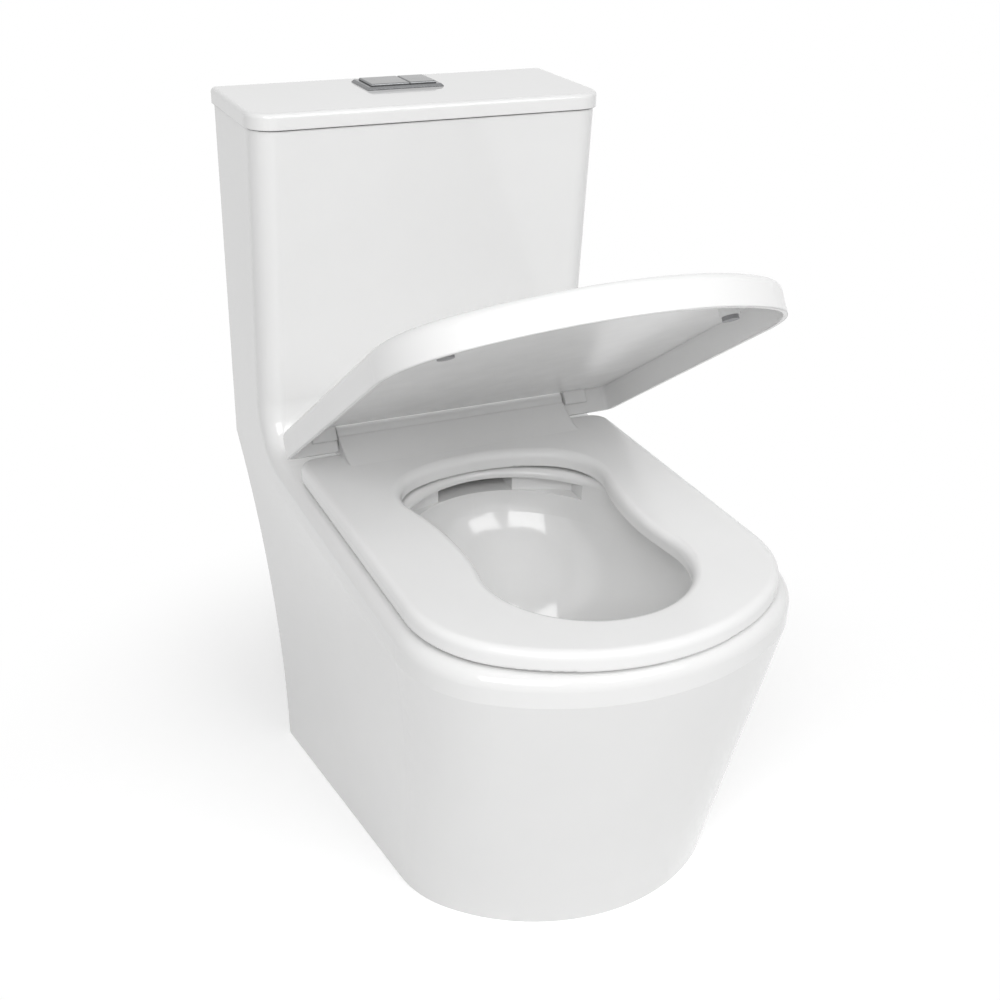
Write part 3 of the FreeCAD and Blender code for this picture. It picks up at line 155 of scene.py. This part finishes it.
rodLook = {
    "tone": ((0.04, 0.12, 0.3), (0.05, 0.15, 0.36)), "toneScale": 40,
    "roughness": (0.35, 0.48), "polishScale": 90,
    "relief": 0.0001, "reliefScale": 900, "reliefStrength": 0.15,
    "shader": {"IOR": 1.49},
}
steelLook = {
    "tone": ((0.5, 0.5, 0.51), (0.58, 0.58, 0.59)), "toneScale": 60,
    "roughness": (0.22, 0.36), "polishScale": 300,
    "relief": 0.00005, "reliefScale": 800, "reliefStrength": 0.2, "stretch": (0.05, 1, 1),
    "shader": {"Metallic": 1.0},
}
darkRubberLook = {
    "tone": ((0.02, 0.02, 0.021), (0.035, 0.035, 0.036)), "toneScale": 30,
    "roughness": (0.6, 0.78), "polishScale": 120,
    "relief": 0.0002, "reliefScale": 1400, "reliefStrength": 0.25,
    "shader": {"IOR": 1.45},
}
greyRubberLook = {
    "tone": ((0.3, 0.3, 0.31), (0.36, 0.36, 0.37)), "toneScale": 60,
    "roughness": (0.45, 0.6), "polishScale": 200,
    "relief": 0.0001, "reliefScale": 1400, "reliefStrength": 0.2,
    "shader": {"IOR": 1.45},
}
looks = {
    "glaze": castingLook, "lid_glaze": glazeLook, "seat_plastic": seatLook, "hinge_plastic": seatLook,
    "chrome": chromeLook, "white_fitting": whiteFittingLook, "grey_fitting": greyFittingLook,
    "rod_plastic": rodLook, "steel": steelLook, "dark_rubber": darkRubberLook, "grey_rubber": greyRubberLook,
}
finishes = {slot: finish(slot, look) for slot, look in looks.items()}
for subpart in frame["record"]["subparts"]:
    piece = nodes[subpart["node"]]
    piece.data.materials.clear()
    piece.data.materials.append(finishes[subpart["material_slot"]])
print("materials:", len(finishes))


# Button springs: a wound wire with flattened end coils

springLook = {
    "wire": 0.00045, "turns": 6.5, "closed": 1.0, "endPitch": 2.1, "stepsPerTurn": 36, "sides": 10,
    "travel": 0.007, "buttons": ("full_flush", "half_flush"),
}


def springHeight(turn, low, high):
    rise, closed, turns = springLook["wire"] * springLook["endPitch"], springLook["closed"], springLook["turns"]
    foot, head = low + rise * closed, high - rise * closed
    if turn < closed:
        return low + (foot - low) * turn / closed
    if turn > turns - closed:
        return head + (high - head) * (turn - turns + closed) / closed
    return foot + (head - foot) * (turn - closed) / (turns - 2 * closed)


def makeSpring(button):
    low, high = (Vector(corner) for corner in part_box(button + "_spring"))
    wire, sides = springLook["wire"], springLook["sides"]
    middle = (low + high) / 2
    radius = (high.x - low.x) / 2 - wire
    steps = int(springLook["turns"] * springLook["stepsPerTurn"])
    points = []
    for step in range(steps + 1):
        turn = step / springLook["stepsPerTurn"]
        angle = 2 * math.pi * turn
        out = Vector((math.cos(angle), math.sin(angle), 0))
        centre = Vector((middle.x, middle.y, springHeight(turn, low.z + wire, high.z - wire))) + out * radius
        for side in range(sides):
            around = 2 * math.pi * side / sides
            points.append(centre + (out * math.cos(around) + Vector((0, 0, math.sin(around)))) * wire)
    faces = [(step * sides + side, step * sides + (side + 1) % sides,
              (step + 1) * sides + (side + 1) % sides, (step + 1) * sides + side)
             for step in range(steps) for side in range(sides)]
    faces.append(tuple(reversed(range(sides))))
    faces.append(tuple(range(steps * sides, (steps + 1) * sides)))
    mesh = bpy.data.meshes.new(button + "Spring")
    mesh.from_pydata(points, [], faces)
    mesh.validate()
    mesh.shade_smooth()
    mesh.materials.append(finishes["steel"])
    spring = bpy.data.objects.new(button + "Spring", mesh)
    scene.collection.objects.link(spring)
    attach(spring, "lid")
    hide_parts(button + "_spring")
    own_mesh(spring)


for button in springLook["buttons"]:
    makeSpring(button)
print("springs:", len(springLook["buttons"]))


# Studio: floor, world, lamps and camera

def seenRays(tree):
    path = addNode(tree, "ShaderNodeLightPath")
    seen = addNode(tree, "ShaderNodeMath", {
        0: path.outputs["Is Camera Ray"], 1: path.outputs["Is Glossy Ray"]}, operation="MAXIMUM")
    return addNode(tree, "ShaderNodeMath", {
        0: seen.outputs[0], 1: path.outputs["Is Transmission Ray"]}, operation="MAXIMUM").outputs[0]


# The floor takes the shadow near the object and is plain white further out
floorLook = {"radius": 9.0, "colour": (0.82, 0.82, 0.82), "glow": 0.36, "near": 0.27, "far": 0.66}


def makeFloor():
    mesh = bpy.data.meshes.new("floor")
    r = floorLook["radius"]
    mesh.from_pydata([(-r, -r, 0), (r, -r, 0), (r, r, 0), (-r, r, 0)], [], [(0, 1, 2, 3)])
    floor = bpy.data.objects.new("floor", mesh)
    scene.collection.objects.link(floor)
    material = bpy.data.materials.new("floor")
    material.use_nodes = True
    tree = material.node_tree
    tree.nodes.clear()
    seen = seenRays(tree)
    place = addNode(tree, "ShaderNodeTexCoord").outputs["Object"]
    away = addNode(tree, "ShaderNodeVectorMath", {0: place}, operation="LENGTH").outputs["Value"]
    fade = addNode(tree, "ShaderNodeMapRange", {
        "Value": away, "From Min": floorLook["near"], "From Max": floorLook["far"]},
        interpolation_type="SMOOTHSTEP").outputs["Result"]
    glow = addNode(tree, "ShaderNodeMath", {0: seen, 1: floorLook["glow"]}, operation="MULTIPLY").outputs[0]
    blank = addNode(tree, "ShaderNodeMath", {0: seen, 1: fade}, operation="MULTIPLY").outputs[0]
    matt = addNode(tree, "ShaderNodeBsdfDiffuse", {"Color": (*floorLook["colour"], 1)})
    lift = addNode(tree, "ShaderNodeEmission", {"Strength": glow})
    lit = addNode(tree, "ShaderNodeAddShader", {0: matt.outputs[0], 1: lift.outputs[0]})
    white = addNode(tree, "ShaderNodeEmission", {"Strength": 1.0})
    both = addNode(tree, "ShaderNodeMixShader", {0: blank, 1: lit.outputs[0], 2: white.outputs[0]})
    output = addNode(tree, "ShaderNodeOutputMaterial")
    tree.links.new(both.outputs[0], output.inputs["Surface"])
    mesh.materials.append(material)


worldLook = {"light": 0.33, "seen": 1.0}


def makeWorld():
    world = bpy.data.worlds.new("studio")
    scene.world = world
    world.use_nodes = True
    tree = world.node_tree
    tree.nodes.clear()
    level = addNode(tree, "ShaderNodeMapRange", {
        "Value": seenRays(tree), "To Min": worldLook["light"], "To Max": worldLook["seen"]})
    sky = addNode(tree, "ShaderNodeBackground", {"Color": (1, 1, 1, 1), "Strength": level.outputs["Result"]})
    output = addNode(tree, "ShaderNodeOutputWorld")
    tree.links.new(sky.outputs[0], output.inputs["Surface"])


# name: place, aimed at, width, height, power
lamps = {
    "overhead": ((0.2, -0.3, 2.7), (0, 0, 0.4), 2.2, 1.8, 5.0),
    "right": ((0.75, -2.2, 2.45), (0, 0, 0.4), 1.6, 1.4, 30.0),
    "left": ((-1.35, -2.0, 2.15), (0, -0.1, 0.4), 1.7, 1.5, 37.0),
}


def makeLamps():
    for name, (place, target, width, height, power) in lamps.items():
        data = bpy.data.lights.new(name, "AREA")
        data.shape = "RECTANGLE"
        data.size, data.size_y, data.energy = width, height, power
        lamp = bpy.data.objects.new(name, data)
        lamp.location = place
        lamp.rotation_euler = (Vector(target) - Vector(place)).to_track_quat("-Z", "Y").to_euler()
        scene.collection.objects.link(lamp)


cameraLook = {
    "place": (-0.57143, -1.26674, 1.01626), "lens": 51.775, "sensor": 36.0, "clip": (0.05, 60),
    "right": (0.9151, -0.4028, 0.0174), "up": (0.1631, 0.4092, 0.8977), "back": (-0.3687, -0.8187, 0.4402),
}


def makeCamera():
    data = bpy.data.cameras.new("camera")
    data.sensor_fit = "HORIZONTAL"
    data.sensor_width, data.lens = cameraLook["sensor"], cameraLook["lens"]
    data.clip_start, data.clip_end = cameraLook["clip"]
    camera = bpy.data.objects.new("camera", data)
    turn = Matrix((cameraLook["right"], cameraLook["up"], cameraLook["back"])).transposed().to_4x4()
    camera.matrix_world = Matrix.Translation(cameraLook["place"]) @ turn
    scene.collection.objects.link(camera)
    scene.camera = camera


makeFloor()
makeWorld()
makeLamps()
makeCamera()
scene.view_settings.view_transform = "Standard"
print("studio ready")
